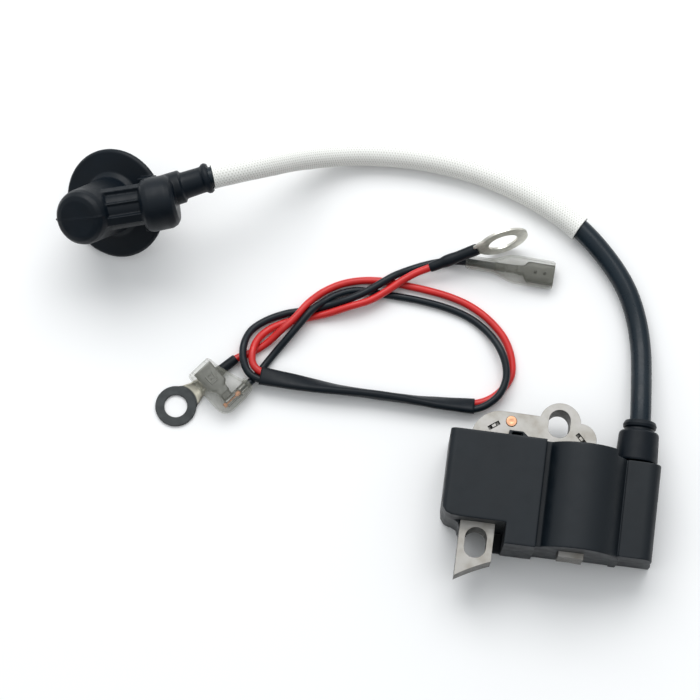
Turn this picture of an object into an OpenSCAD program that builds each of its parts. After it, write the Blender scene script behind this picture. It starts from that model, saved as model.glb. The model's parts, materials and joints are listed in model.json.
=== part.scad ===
// Ignition coil module for a small two-stroke engine: potted housing on a laminated core,
// high-tension lead with heat sleeve and elbow plug boot, and its loose lead set.
// X runs along the long edge, Y towards the mounting lug, Z up; z = 0 is the table.

/* [Core] */
// Thickness of the laminated core
core_t = 8.5; // [7.5:0.5:9]
// Height of the core's underside
core_z = 6.5; // [6:0.5:7]
// Width of the leg with the mounting slot
leg_w = 9.4; // [9:0.1:9.8]
// Width of the leg that carries the windings
coil_leg_w = 6.8; // [6:0.1:7]
// Width of both mounting slots
slot_w = 5.9; // [5.3:0.1:6.2]
// Length of the slot in the lug
lug_slot_len = 7.8; // [6:0.1:8]
// Length of the slot in the leg
leg_slot_len = 8.3; // [6:0.1:8.5]
// Radius of the flywheel rim that the pole faces follow
pole_r = 55; // [50:1:60]

/* [Housing] */
// Height of the flat part of the housing
block_h = 20.5; // [19.5:0.5:21]
// Outer radius of the round coil cover
cover_r = 12; // [12:0.1:12.5]
// Wall thickness
wall = 1.3; // [1.1:0.1:1.5]
// Depth of the potting layer that closes the underside
potting_t = 0.7; // [0.4:0.1:0.8]

/* [High-tension lead] */
// Diameter of the lead
lead_d = 5.8; // [5:0.1:5.8]
// Outside diameter of the braided heat sleeve
sleeve_d = 6.6; // [6.4:0.1:7]

/* [Plug boot] */
// Diameter of the sealing disc
disc_d = 30.8; // [28:0.1:30.8]
// Diameter of the barrel that grips the spark plug
barrel_d = 15.4; // [14.6:0.1:15.6]
// Bore for the spark plug's insulator
plug_bore_d = 9.6; // [9:0.1:10.2]
// Height of the barrel above the disc
barrel_h = 20.2; // [19:0.1:20.5]

/* [Lead set] */
// Diameter of the two thin wires
wire_d = 2.1; // [1.8:0.1:2.1]
// Hole of the small ring terminal
small_ring_hole = 6.4; // [5.3:0.1:6.5]
// Hole of the large ring terminal
large_ring_hole = 8.4; // [8.2:0.1:8.6]
// Sheet thickness of the ring terminals
ring_t = 0.8; // [0.6:0.1:1]
// Width of the blade that the receptacles take
blade_w = 4.8; // [4.8:0.1:4.8]

/* [Hidden] */
$fn = 48;

// ---- core ----
core_top = core_z + core_t;
leg_x = -19;            // middle of the slotted leg
coil_x = 6.8;           // middle of the coil leg
coil_z = core_z + core_t / 2;
lug_pos = [0, 19.6];
lug_r = 5.7;
lug_slot_pos = [-0.2, 19.5];
leg_slot_pos = [leg_x, -15.8];
pole_pos = [6, -71.6];  // flywheel axis
rivet_pos = [-13.2, 18.5];
rivet_r = 1.5;

// ---- housing ----
west = -29.3;
north = 13.8;
block_south = -10.2;
step_x = -11.6;
step_south = -16;
block_east = -3.2;
cover_x = 8;
cover_z = 10.3;
cover_south = -15.2;
groove_z = 17.4;
tower_west = 19.5;
tower_north = 12;
tower_south = -14.6;
cavity_top = block_h - wall;
lead_x = 22.1;
lead_z = 8.5;
seal_mouth = 24.4;      // outer face of the seal boot

// ---- windings round the coil leg ----
coil_south = -12.6;
coil_len = 21.6;
flange_r = 9.1;
flange_t = 0.7;
secondary_inset = 1.5;  // the secondary bobbin is shorter by this at each end
secondary_r = 7.15;     // inner radius of the secondary bobbin
secondary_chambers = 5;
chamber_pitch = (coil_len - 2 * secondary_inset - flange_t) / secondary_chambers;

// ---- circuit board ----
board_low = [-27, -7.6, 16];
board_high = [-5.4, 11.4, 17];
capacitor_lead_r = 0.35;
capacitor_leads = [[-9.2, -2.5], [-9.2, 4.5]];
pin_r = 0.35;

// ---- plug boot ----
boot_pos = [-130.4, 66.7, 11.1];   // middle of the disc's upper face
boot_tilt = 38.8;       // lean of the barrel from upright
boot_az = 235.2;        // and the way it leans
disc_t = 1.8;
grip_low = -1.3;        // ends of the bore that grips the plug's insulator
grip_top = 6.3;
chamber_d = 8.4;        // room above it for the plug's nut and the contact spring
chamber_top = 14;
barrel_dir = [sin(boot_tilt) * cos(boot_az), sin(boot_tilt) * sin(boot_az), cos(boot_tilt)];
barrel_x = [cos(boot_tilt) * cos(boot_az), cos(boot_tilt) * sin(boot_az), -sin(boot_tilt)];
barrel_y = [-sin(boot_az), cos(boot_az), 0];
arm_root = boot_pos + 13.5 * barrel_dir;
saddle_pos = [-116.2, 64.9, 23.4];
saddle_az = 17;
saddle_el = 6;
neck_root = [-116.1, 68, 23.2];
neck_tip = [-103.4, 73.5, 25.2];
neck_len = norm(neck_tip - neck_root);
lead_end = [-114.2, 68.8, 23.5];
contact_r = 3.4;
contact_wire_d = 0.9;
contact_turns = 4;
contact_low = 6.95;
contact_pitch = 1.15;
contact_top = contact_low + contact_turns * contact_pitch;
contact_steps = 12;     // straight pieces to a turn
contact_tail = lead_end - arm_root;
contact_route = concat(
  [for (i = [0 : contact_steps * contact_turns])
    let (a = i * 360 / contact_steps)
    in_boot([contact_r * cos(a), contact_r * sin(a), contact_low + i * contact_pitch / contact_steps])],
  [in_boot([1.8, 1.2, contact_top + 0.7]), in_boot([0.2, 0.5, contact_top + 1.5])],
  [arm_root + 0.08 * contact_tail, lead_end - 0.02 * contact_tail]
);
foot_az = 135;          // side of the disc that the saddle's foot stands on

// ---- lead set ----
small_ring_pos = [-105.8, 13.9, 0];
small_ring_az = 46.3;
crimp_z = 1.6;          // height of its crimp
large_ring_pos = [-21.3, 71.1, 7.5];
large_ring_az = 24.5;
small_ring_r = 5.7;
large_ring_r = 7.3;
large_ring_tilt = 97;
shrink_start = [-40.6, 61.9, 3.9];
shrink_az = 26.2;
shrink_el = 12.5;
wire_gap = 1.12;        // half the spacing of the wires in their sleeve
flat_r = 1.42;          // outer radius of the sleeve's round edges
flat_wall = 0.2;
straight_pos = [-31, 65.4, 2.3];
straight_az = -2;
flag_pos = [-89.6, 18.4, 3];
flag_az = 51.9;
flag_tilt = 15;
sheet = 0.4;            // sheet metal of the receptacles
box_len = 7.4;
box_w = blade_w + 1.1;
box_h = 2.3;
film = 0.45;            // wall of the clear sleeves

// ---- routes: centre lines of the cords, from end to end ----
hv_route = [
  [22.1, 11, 8.5], [22.1, 24.4, 8.5], [21.7, 31, 7.8], [21.3, 38, 5.8], [20.5, 46, 3.9],
  [18.5, 54.5, 3.1], [15, 62.5, 3.1], [9.5, 70, 3.1], [0, 78.8, 3.4], [-10, 84.4, 3.5],
  [-21, 88.9, 3.5], [-32, 91.8, 3.5], [-43, 93.3, 3.5], [-54, 93.5, 3.5], [-64, 92.6, 3.8],
  [-73, 90.2, 6], [-81, 86.4, 11.3], [-87, 82.2, 17.6], [-92.8, 78.3, 22.8], [-98.2, 75.5, 25],
  [-102.8, 73.7, 25.3], [-114.2, 68.8, 23.5]
];
// middle of the flat sleeve, and how far its black wire has turned up over its red one
flat_route = [
  [-23.5, 24.3, 2.1], [-33.5, 23.9, 2.4], [-43.5, 23.8, 2.6], [-53.5, 23.9, 2.6],
  [-63.5, 24, 2.8], [-73.5, 24.4, 3.2], [-83.5, 24.9, 3.6]
];
flat_turn = [32, 52, 78, 80, 60, 28, 4];
function in_flat(i, s) =
  flat_route[i] + s * wire_gap * [0, -cos(flat_turn[i]), sin(flat_turn[i])];
sleeve_first = 8;       // the sleeve covers the route from this point
sleeve_last = 20;       // to this one
red_route = concat([
  [-96, 24, 1.6], [-90.8, 29.5, 1.4], [-87.5, 31.4, 1.2], [-83.5, 34.5, 1.3], [-79.2, 39.1, 3.2],
  [-76.2, 42.7, 3.4], [-73.3, 47.2, 3.1], [-69.3, 51.7, 1.4], [-64.5, 54.7, 1.1], [-59, 56.4, 1.1],
  [-52.5, 57, 1.1], [-46, 56.5, 1.1], [-40, 55.9, 1.1], [-34, 54.9, 1.1], [-28, 53, 1.1],
  [-22.5, 49.8, 1.1], [-17.5, 45, 1.1], [-14.8, 39.5, 1.1], [-14.3, 34.5, 1.1],
  [-16.3, 30.3, 1.1], [-19.2, 27.3, 1.1]
], [for (i = [0 : 6]) in_flat(i, -1)], [
  [-86, 28, 3.6], [-86.6, 31.4, 3.5], [-85.9, 35, 2.4], [-83.5, 38.5, 1.2], [-79, 41.4, 1.1],
  [-73, 43.6, 1.1], [-67.5, 45.4, 1.9], [-61.5, 47.9, 3.3], [-56, 50.5, 3.3], [-51.5, 54, 3.3],
  [-47.8, 57.3, 3.5], [-44.5, 59.8, 3.5], [-40.6, 61.9, 3.9], [-36.6, 63.9, 4.9]
]);
black_route = concat([
  [-88.1, 20.3, 3], [-86.2, 22.7, 2.9], [-84.8, 24.9, 1.6], [-82.8, 28.6, 1.1], [-80.3, 32.7, 1.4],
  [-77.3, 37, 2.9], [-74.6, 41.1, 3.5], [-71.7, 45.6, 3.5], [-68.6, 48.9, 2], [-65.6, 51.3, 1.2],
  [-60, 53.4, 1.1], [-52, 53.2, 1.1], [-43, 52.8, 1.1], [-34, 51.5, 1.1], [-27.5, 49.4, 1.1],
  [-22, 45.7, 1.8], [-18.3, 41.2, 3.2], [-16.2, 36.8, 3.4], [-15.7, 32.6, 3.4],
  [-17, 28.3, 3.4], [-19.8, 25.2, 3]
], [for (i = [0 : 6]) in_flat(i, 1)], [
  [-86.8, 25.3, 3.8], [-88.8, 28.8, 3.8], [-89.3, 33, 3.4], [-88, 37.8, 1.6], [-84.5, 41.2, 1.1],
  [-79, 44.1, 1.1], [-72.5, 46, 1.1], [-67, 48, 2], [-62, 50, 3.3], [-57, 53.1, 3.4],
  [-52.6, 56.6, 3.4], [-50.5, 58.3, 3.1], [-47.5, 60.4, 1.9], [-43.5, 62.6, 1.1],
  [-39.5, 64.2, 1.1], [-35.5, 65.3, 1.1], [-30.5, 65.4, 2.1], [-22.5, 65.1, 2.3]
]);

// ---- sweeping a round section along a route ----
function unit(v) = v / norm(v);
function tangent(p, i) = unit(p[min(i + 1, len(p) - 1)] - p[max(i - 1, 0)]);
function side_of(t) = unit(cross(t, [0, 0, 1]));
function ring(p, i, r, n) =
  let (t = tangent(p, i), s = side_of(t), u = cross(s, t))
  [for (k = [0 : n - 1]) p[i] + r * (cos(360 * k / n) * s + sin(360 * k / n) * u)];
function rings(p, r, n) = [for (i = [0 : len(p) - 1]) each ring(p, i, r, n)];
function skin(count, n, start, flip) = [
  for (i = [0 : count - 2], k = [0 : n - 1])
    let (a = start + i * n + k, b = start + i * n + (k + 1) % n)
    each (flip ? [[a, b + n, b], [a, a + n, b + n]] : [[a, b, b + n], [a, b + n, a + n]])
];

// A solid cord along a route
module cord(route, d, n) {
  last = (len(route) - 1) * n;
  polyhedron(
    points = rings(route, d / 2, n),
    faces = concat(
      skin(len(route), n, 0, false),
      [[for (k = [n - 1 : -1 : 0]) k]],
      [[for (k = [0 : n - 1]) last + k]]
    )
  );
}

// Faces of a hollow sweep: its outer skin, its inner skin and a ring at each end
function sleeve_faces(count, n) =
  let (inner = count * n, last = (count - 1) * n)
  concat(
    skin(count, n, 0, false),
    skin(count, n, inner, true),
    [for (k = [0 : n - 1])
      let (m = (k + 1) % n)
      each [[k, inner + m, m], [k, inner + k, inner + m]]],
    [for (k = [0 : n - 1])
      let (m = (k + 1) % n)
      each [[last + k, last + m, inner + last + m], [last + k, inner + last + m, inner + last + k]]]
  );

// A hollow sleeve along a route
module sleeve(route, d_out, d_in, n) {
  polyhedron(
    points = concat(rings(route, d_out / 2, n), rings(route, d_in / 2, n)),
    faces = sleeve_faces(len(route), n)
  );
}

// A box given by its two opposite corners
module block(low, high) {
  translate(low) cube(high - low);
}

// Runs its child along Y instead of Z, from y = start
module along_y(x, z, start) {
  translate([x, start, z]) rotate([-90, 0, 0]) children();
}

// A tube
module tube(r_out, r_in, h) {
  difference() {
    cylinder(r = r_out, h = h);
    translate([0, 0, -1]) cylinder(r = r_in, h = h + 2);
  }
}

// A flat slot with round ends, its length along Y
module slot_2d(pos, w, l) {
  translate(pos) {
    for (s = [-1, 1]) translate([0, s * (l - w) / 2]) circle(d = w);
    square([w, l - w], center = true);
  }
}

// ================= module on the engine =================

module core_outline() {
  difference() {
    union() {
      intersection() {
        translate([-15.7, 13.1]) circle(r = 8);
        translate([-30, 11.6]) square([30, 12]);
      }
      translate([5.8, 15.8]) circle(r = 4.5);
      translate(lug_pos) circle(r = lug_r);
      polygon([[-15.7, 21.1], [1.5, 20.9], [5.8, 20.3], [10.3, 15.8], [10.3, 11.6],
               [-23.7, 11.6], [-23.7, 13.1]]);
      translate([leg_x - leg_w / 2, -27]) square([leg_w, 39]);
      translate([coil_x - coil_leg_w / 2, -18]) square([coil_leg_w, 30]);
    }
    translate(pole_pos) circle(r = pole_r, $fn = 180);
  }
}

module core_stack() {
  color("silver") difference() {
    translate([0, 0, core_z]) linear_extrude(core_t) core_outline();
    translate([0, 0, core_z - 1]) linear_extrude(core_t + 2) {
      slot_2d(lug_slot_pos, slot_w, lug_slot_len);
      slot_2d(leg_slot_pos, slot_w, leg_slot_len);
    }
    translate([rivet_pos.x, rivet_pos.y, core_z - 1]) cylinder(r = rivet_r, h = core_t + 2);
    // slots that key the sheets together, each with a tongue in its middle
    for (d = [[-17.8, 16.8, 36], [6.1, 16.1, -45]])
      translate([d[0], d[1], core_top]) rotate([0, 0, d[2]]) difference() {
        cube([3.4, 1.15, 2], center = true);
        translate([0, 0, -0.85]) cube([1.3, 0.7, 1.4], center = true);
      }
  }
}

module ground_rivet() {
  color("chocolate") translate([rivet_pos.x, rivet_pos.y, core_z - 0.4]) {
    cylinder(r = rivet_r, h = core_t + 0.6);
    cylinder(r = rivet_r + 0.6, h = 0.4);
  }
}

// Outside shape of the housing
module housing_body() {
  linear_extrude(block_h)
    polygon([[west, north], [west, -6], [-29, -8], [-28, -9.4], [-26.5, -10], [-24, block_south],
             [step_x, block_south], [step_x, step_south], [block_east, step_south],
             [block_east, north]]);
  along_y(cover_x, cover_z, cover_south) cylinder(r = cover_r, h = north - cover_south, $fn = 96);
  block([block_east - 1, cover_south, 0], [tower_west + 0.5, north, cover_z]);
  block([block_east - 1, cover_south, 0], [0.5, north, groove_z]);
  tower_body();
  leg_web();
  foot_plate();
  wire_guide();
}

// What a rounded left top edge takes away
module edge_cut(x, z, r) {
  difference() {
    block([x - 1, -30, z - r], [x + r, 30, z + 1]);
    along_y(x + r, z - r, -31) cylinder(r = r, h = 62);
  }
}

// Round tower on the right that takes the lead
module tower_body() {
  r = 3.6;
  block([tower_west, tower_south, 0], [29.3, tower_north, 4]);
  block([tower_west, tower_south, 0], [28.8, tower_north, 11.6]);
  block([tower_west, tower_south, 0], [25.2, tower_north, 15.2]);
  along_y(25.2, 11.6, tower_south) cylinder(r = r, h = tower_north - tower_south);
}

// Small web of the housing beside the slotted leg
module leg_web() {
  linear_extrude(core_top - 1) polygon([[-26, -9], [-26, -10], [-24.4, -10.8], [-23.8, -12.4], [-23.8, -9]]);
}

// Low plate between the slotted leg and the front of the housing
module foot_plate() {
  block([-14.2, -15.7, 0], [step_x + 1, block_south + 1, 1.5]);
}

// Small wire guide on the back edge
module wire_guide() {
  translate([0, 0, core_top]) linear_extrude(3.4)
    polygon([[-13.9, north - 1], [-13.6, 15.4], [-9.7, 15.4], [-7.9, north], [-7.9, north - 1]]);
}

// Room inside the housing
module housing_cavity() {
  block([west + wall, block_south + wall, -1], [block_east - wall, north - wall, cavity_top]);
  block([step_x + wall, step_south + wall, -1], [block_east - wall, block_south + 2, cavity_top]);
  intersection() {
    along_y(cover_x, cover_z, cover_south + wall)
      cylinder(r = cover_r - wall, h = tower_north - cover_south - 2 * wall, $fn = 96);
    block([-3, -20, -5], [20, 20, 30]);
  }
  block([-2.6, cover_south + wall, -1], [tower_west - 1, tower_north - wall, cover_z]);
  block([block_east - 2, cover_south + 4, 2], [0, north - 3, 14]);
}

module housing() {
  color([0.13, 0.14, 0.15]) difference() {
    intersection() {
      housing_body();
      block([west, -30, 0], [30, 30, 30]);
    }
    housing_cavity();
    edge_cut(west, block_h, 2);
    block([16.2, tower_north, -1], [30, 20, 30]);
    // seats of the core in the walls
    block([-23.7, block_south + wall - 1, core_z], [10.3, 30, core_top]);
    block([leg_x - leg_w / 2, -30, core_z], [leg_x + leg_w / 2, 0, core_top]);
    block([coil_x - coil_leg_w / 2, -30, core_z], [coil_x + coil_leg_w / 2, 0, core_top]);
    // socket of the lead in the tower
    along_y(lead_x, lead_z, 5.5) cylinder(r = 4.1, h = 20);
    along_y(lead_x, lead_z, 1.5) cylinder(r = 2.4, h = 10);
    translate([16, 2.5, lead_z]) rotate([0, 90, 0]) cylinder(r = 0.6, h = 6, $fn = 24);
    // pit in the wire guide, seat of the kill terminal, slit and undercut of the south face
    block([-12.8, 13.9, core_top + 1.2], [-9.9, 14.9, 19]);
    block([-13.5, north - wall - 1, 2.6], [-8.5, north + 1, 3.5]);
    block([-8.2, step_south - 1, 10.3], [-5.7, step_south + 0.4, 10.7]);
    block([10.8, cover_south - 1, -1], [18, cover_south + 0.7, 2]);
  }
}

module potting_resin() {
  color([0.1, 0.1, 0.12]) intersection() {
    block([west, -20, 0.4], [tower_west, 20, 0.4 + potting_t]);
    housing_cavity();
  }
}

// Rounded rectangular section round the coil leg
module leg_frame(w, h, r) {
  translate([coil_x, coil_z]) {
    square([w - 2 * r, h], center = true);
    square([w, h - 2 * r], center = true);
    for (x = [-1, 1], y = [-1, 1])
      translate([x * (w / 2 - r), y * (h / 2 - r)]) circle(r = r, $fn = 24);
  }
}

// Extrudes an X-Z section along Y
module extrude_y(start, length) {
  translate([0, start + length, 0]) rotate([90, 0, 0]) linear_extrude(length) children();
}

module primary_bobbin() {
  color("ivory") difference() {
    union() {
      extrude_y(coil_south, coil_len) leg_frame(8.4, 10.1, 0.6);
      for (y = [coil_south, coil_south + coil_len - flange_t])
        extrude_y(y, flange_t) leg_frame(10.6, 12.2, 1.5);
    }
    extrude_y(coil_south - 1, coil_len + 2) square_leg(0.25);
  }
}

// Section of the coil leg, grown by a clearance
module square_leg(gap) {
  translate([coil_x, coil_z]) square([coil_leg_w + 2 * gap, core_t + 2 * gap], center = true);
}

module primary_winding() {
  color("orangered") difference() {
    extrude_y(coil_south + flange_t, coil_len - 2 * flange_t) leg_frame(9.9, 11.6, 1.2);
    extrude_y(coil_south, coil_len) leg_frame(8.4, 10.1, 0.6);
  }
}

module secondary_bobbin() {
  color("linen") along_y(coil_x, coil_z, coil_south + secondary_inset) {
    tube(7.6, secondary_r, coil_len - 2 * secondary_inset);
    for (i = [0 : secondary_chambers])
      translate([0, 0, i * chamber_pitch]) tube(flange_r, secondary_r, flange_t);
  }
}

module secondary_winding() {
  color("sienna") along_y(coil_x, coil_z, coil_south + secondary_inset)
    for (i = [0 : secondary_chambers - 1])
      translate([0, 0, i * chamber_pitch + flange_t])
        tube(8.8, 7.6, chamber_pitch - flange_t);
}

module circuit_board() {
  color("darkgreen") difference() {
    block(board_low, board_high);
    for (p = capacitor_leads)
      translate([p.x, p.y, board_low.z - 1]) cylinder(r = capacitor_lead_r + 0.1, h = 3, $fn = 24);
  }
}

// A part with square legs on the board
module chip(pos, size, leg_count) {
  translate([pos.x, pos.y, board_high.z]) {
    translate([0, 0, 0.1]) cube(size);
    pitch = size.x / leg_count;
    for (i = [0 : leg_count - 1], s = [-0.7, size.y])
      translate([(i + 0.3) * pitch, s, 0]) cube([0.4 * pitch, 0.7, 0.6]);
  }
}

module power_transistor() {
  color("dimgray") chip([-25, 2, 0], [6.5, 6, 1.9], 3);
}

module control_chip() {
  color("black") chip([-15.5, 4, 0], [5, 4, 1.6], 4);
}

module storage_capacitor() {
  color("goldenrod") block([-13, -5.5, 3.4], [-5.4, 7.5, 15.6]);
  color("silver") for (p = capacitor_leads)
    translate([p.x, p.y, 15.6]) cylinder(r = capacitor_lead_r, h = 1.7, $fn = 24);
}

module board_resistors() {
  color("darkslategray") for (i = [0 : 3])
    block([-24 + 4 * i, -3, board_high.z], [-22 + 4 * i, -1.7, board_high.z + 0.6]);
}

module rectifier_diode() {
  color("black") block([-10, -6, board_high.z], [-6.6, -3.8, board_high.z + 1.6]);
}

// Pins that join the windings to the board
module winding_pins() {
  color("silver") for (y = [-4.5, 9.8])
    translate([-4.95, y, 0]) {
      translate([0, 0, 9]) cylinder(r = pin_r, h = 8.3, $fn = 24);
      translate([0, 0, board_high.z + pin_r]) rotate([0, -90, 0]) cylinder(r = pin_r, h = 1.3, $fn = 24);
    }
}

module kill_terminal_tab() {
  color("silver") difference() {
    block([-13.4, 9.5, 2.65], [-13.4 + blade_w, 20.2, 3.45]);
    translate([-11, 17.4, 0]) cylinder(r = 0.7, h = 5);
  }
}

module hv_contact_pin() {
  color("gold") {
    along_y(lead_x, lead_z, 1.6) cylinder(r = 2.2, h = 1.4);
    along_y(lead_x, lead_z, 3) cylinder(r = 0.7, h = 8);
    translate([16.4, 2.5, lead_z]) rotate([0, 90, 0]) cylinder(r = 0.45, h = 5, $fn = 24);
  }
}

// Rubber boot that seals the lead in the tower
module lead_seal_boot() {
  color([0.16, 0.17, 0.19]) along_y(lead_x, lead_z, 0) rotate_extrude()
    polygon([[0.8, 5.6], [4, 5.6], [4, 12.7], [5.75, 12.7], [5.85, 13.2], [5.45, 20.8],
             [5.1, 21.3], [4.1, 21.5], [4, 22.2], [4.5, 22.5], [4.6, 23.4], [4.2, seal_mouth],
             [lead_d / 2 + 0.05, seal_mouth], [lead_d / 2 + 0.05, 11], [0.8, 11]]);
}

// ================= high-tension lead =================

module hv_lead() {
  color([0.12, 0.13, 0.15]) cord(hv_route, lead_d, 12);
}

module heat_sleeve() {
  color("white")
    sleeve([for (i = [sleeve_first : sleeve_last]) hv_route[i]], sleeve_d, lead_d + 0.1, 12);
}

// Puts its child in the boot's frame, the barrel along Z
module boot_frame() {
  translate(boot_pos) rotate([0, 0, boot_az]) rotate([0, boot_tilt, 0]) children();
}

// Puts its child at a, with Z pointing to b and X pointing down
module between(a, b) {
  d = b - a;
  translate(a) rotate([0, acos(d.z / norm(d)), atan2(d.y, d.x)]) children();
}

// Sealing disc and the barrel that grips the plug
module boot_barrel() {
  r = barrel_d / 2;
  boot_frame() rotate_extrude($fn = 64)
    polygon([[0, -disc_t], [disc_d / 2 - 0.6, -disc_t], [disc_d / 2, -1.3], [disc_d / 2, -0.6],
             [disc_d / 2 - 0.6, 0], [r + 1.4, 0.5], [r + 0.2, 1.8], [r, barrel_h - 3],
             [r - 0.4, barrel_h - 1.5], [r - 1.3, barrel_h - 0.5], [r - 2.6, barrel_h - 0.1],
             [0, barrel_h]]);
}

// Ribbed arm between the barrel and the saddle
module boot_arm() {
  between(arm_root, saddle_pos) {
    cylinder(r1 = 5.4, r2 = 5.2, h = 17);
    for (rib = [[132, 2.6, 6.3], [180, 0.6, 5.8], [228, 2.6, 6.3], [0, 2.6, 6]])
      rotate([0, 0, rib[0]]) translate([0, -rib[1] / 2, 0]) cube([rib[2], rib[1], 17]);
  }
}

// Thick collar between the arm and the neck
module boot_saddle() {
  translate(saddle_pos) rotate([0, 90 - saddle_el, saddle_az])
    rotate_extrude()
      polygon([[0, -4.8], [6.2, -4.8], [7.2, -3.9], [7.5, -2.6], [7.4, 2.4], [6.8, 3.8],
               [5.6, 4.7], [0, 4.8]]);
}

// Stepped neck with a lip, where the lead goes in
module boot_neck() {
  l = neck_len;
  between(neck_root, neck_tip) rotate_extrude()
    polygon([[0, 0], [4.7, 0], [4.6, 5.8], [3.75, 6.3], [3.6, l - 2], [4.1, l - 1.6],
             [4.3, l - 0.8], [3.9, l], [0, l]]);
}

// Foot of the saddle on the disc
module boot_foot() {
  boot_frame() rotate([0, 0, foot_az]) translate([10.5, -8, -0.8]) cube([4.2, 15, 3.6]);
}

module plug_boot() {
  color([0.15, 0.16, 0.17]) difference() {
    union() {
      boot_barrel();
      boot_arm();
      boot_saddle();
      boot_neck();
      boot_foot();
    }
    boot_frame() {
      rotate_extrude($fn = 64)
        polygon([[0, -disc_t - 1], [plug_bore_d / 2 + disc_t + 1 + grip_low, -disc_t - 1],
                 [plug_bore_d / 2, grip_low], [plug_bore_d / 2, grip_top],
                 [chamber_d / 2, grip_top + 0.5], [chamber_d / 2, chamber_top], [0, chamber_top]]);
    }
    between(lead_end, neck_tip) translate([0, 0, -0.2]) cylinder(r = lead_d / 2 + 0.1, h = 20);
    between(arm_root, lead_end) cylinder(r = 0.9, h = norm(lead_end - arm_root) + 0.5);
  }
}

// A point of the boot's own frame, in the part's frame
function in_boot(p) = boot_pos + p.x * barrel_x + p.y * barrel_y + p.z * barrel_dir;

// Spring that grips the plug's terminal nut, with its tail to the lead
module plug_contact_spring() {
  color("silver") cord(contact_route, contact_wire_d, 6);
}

// ================= lead set =================

module red_wire() {
  color("red") cord(red_route, wire_d, 8);
}

module black_wire() {
  color([0.1, 0.1, 0.1]) cord(black_route, wire_d, 8);
}

// Points of one section of the flat sleeve: a slot with round ends
function flat_ring(i, r, n) =
  let (t = tangent(flat_route, i),
       a = unit(in_flat(i, 1) - in_flat(i, -1)),
       u = unit(a - (a * t) * t),
       v = cross(u, t))
  [for (k = [0 : n - 1])
    let (angle = 360 * (k + 0.5) / n, end = cos(angle) >= 0 ? 1 : -1)
    flat_route[i] + (end * wire_gap + r * cos(angle)) * u + r * sin(angle) * v];

module harness_sleeve() {
  n = 16;
  count = len(flat_route);
  inner_r = flat_r - flat_wall;
  color([0.17, 0.18, 0.19]) polyhedron(
    points = concat([for (i = [0 : count - 1]) each flat_ring(i, flat_r, n)],
                    [for (i = [0 : count - 1]) each flat_ring(i, inner_r, n)]),
    faces = sleeve_faces(count, n)
  );
}

// Ring of a ring terminal, its neck towards +X
module ring_plate(hole, outer_r, neck_len, neck_w) {
  difference() {
    linear_extrude(ring_t) {
      circle(r = outer_r);
      polygon([[0, -outer_r * 0.92], [0, outer_r * 0.92], [outer_r * 0.6, outer_r * 0.72],
               [neck_len, neck_w / 2], [neck_len, -neck_w / 2], [outer_r * 0.6, -outer_r * 0.72]]);
    }
    translate([0, 0, -1]) cylinder(d = hole, h = ring_t + 2);
  }
}

module crimp_barrel(length, r) {
  rotate([0, 90, 0]) tube(r, wire_d / 2 + 0.1, length);
}

module ring_terminal_small() {
  color("gray") translate(small_ring_pos) rotate([0, 0, small_ring_az]) {
    ring_plate(small_ring_hole, small_ring_r, 9.2, 3.4);
    translate([9, 0, crimp_z]) crimp_barrel(6.5, 1.42);
  }
}

module ring_terminal_large() {
  color("silver") {
    translate(large_ring_pos) rotate([large_ring_tilt, 0, 180 + large_ring_az])
      translate([0, 0, -ring_t / 2]) ring_plate(large_ring_hole, large_ring_r, 8.6, 3.6);
    large_shrink_frame() translate([4.2, 0, 0]) crimp_barrel(9.6, 1.4);
  }
}

module large_shrink_frame() {
  translate(shrink_start) rotate([0, -shrink_el, shrink_az]) children();
}

module shrink_tube_small() {
  color([0.12, 0.12, 0.13]) translate(small_ring_pos) rotate([0, 0, small_ring_az])
    translate([10, 0, crimp_z]) rotate([0, 90, 0]) tube(1.6, 1.44, 11.3);
}

module shrink_tube_large() {
  color([0.12, 0.12, 0.13]) large_shrink_frame() rotate([0, 90, 0]) tube(1.7, 1.42, 14.4);
}

// Blade box of a receptacle, its mouth at x = box_len
module blade_box() {
  difference() {
    translate([0, -box_w / 2, -box_h / 2]) cube([box_len, box_w, box_h]);
    translate([-1, -box_w / 2 + sheet, -box_h / 2 + sheet])
      cube([box_len + 2, box_w - 2 * sheet, box_h - 2 * sheet]);
    for (x = [2.2, 4.6]) translate([x, -0.5, 0]) cube([0.9, 1, box_h]);
  }
}

module straight_frame() {
  translate(straight_pos) rotate([0, 0, straight_az]) children();
}

module blade_receptacle_straight() {
  color("silver") straight_frame() {
    translate([17.8, 0, 0]) blade_box();
    translate([14.8, -1.4, -box_h / 2]) cube([3.1, 2.8, sheet]);
    translate([8.4, 0, 0]) crimp_barrel(3, 1.3);
    translate([11.8, 0, 0]) rotate([0, 90, 0]) tube(1.2, 0.8, 3.1);
    translate([11.2, -0.7, -1.3]) cube([4, 1.4, 0.3]);
  }
}

module strands_straight() {
  color("peru") straight_frame() translate([8.6, 0, 0]) rotate([0, 90, 0])
    cylinder(r = 0.75, h = 6.8, $fn = 24);
}

module clear_sleeve_straight() {
  h = 3.6;
  color([0.9, 0.92, 0.9, 0.5]) straight_frame() difference() {
    translate([0, 0, -h / 2]) linear_extrude(h)
      polygon([[0, -1.75], [8.6, -1.75], [13.4, -3.9], [24.6, -3.9], [25.6, -3.2], [25.6, 3.2],
               [24.6, 3.9], [12.6, 4], [7.8, 1.8], [0, 1.75]]);
    translate([0, 0, -h / 2 + film]) linear_extrude(h - 2 * film)
      polygon([[-1, -1.35], [8.7, -1.35], [13.5, -3.5], [30, -3.5], [30, 3.5], [12.8, 3.5],
               [8, 1.35], [-1, 1.35]]);
  }
}

module flag_frame() {
  translate(flag_pos) rotate([flag_tilt, 0, flag_az]) children();
}

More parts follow.
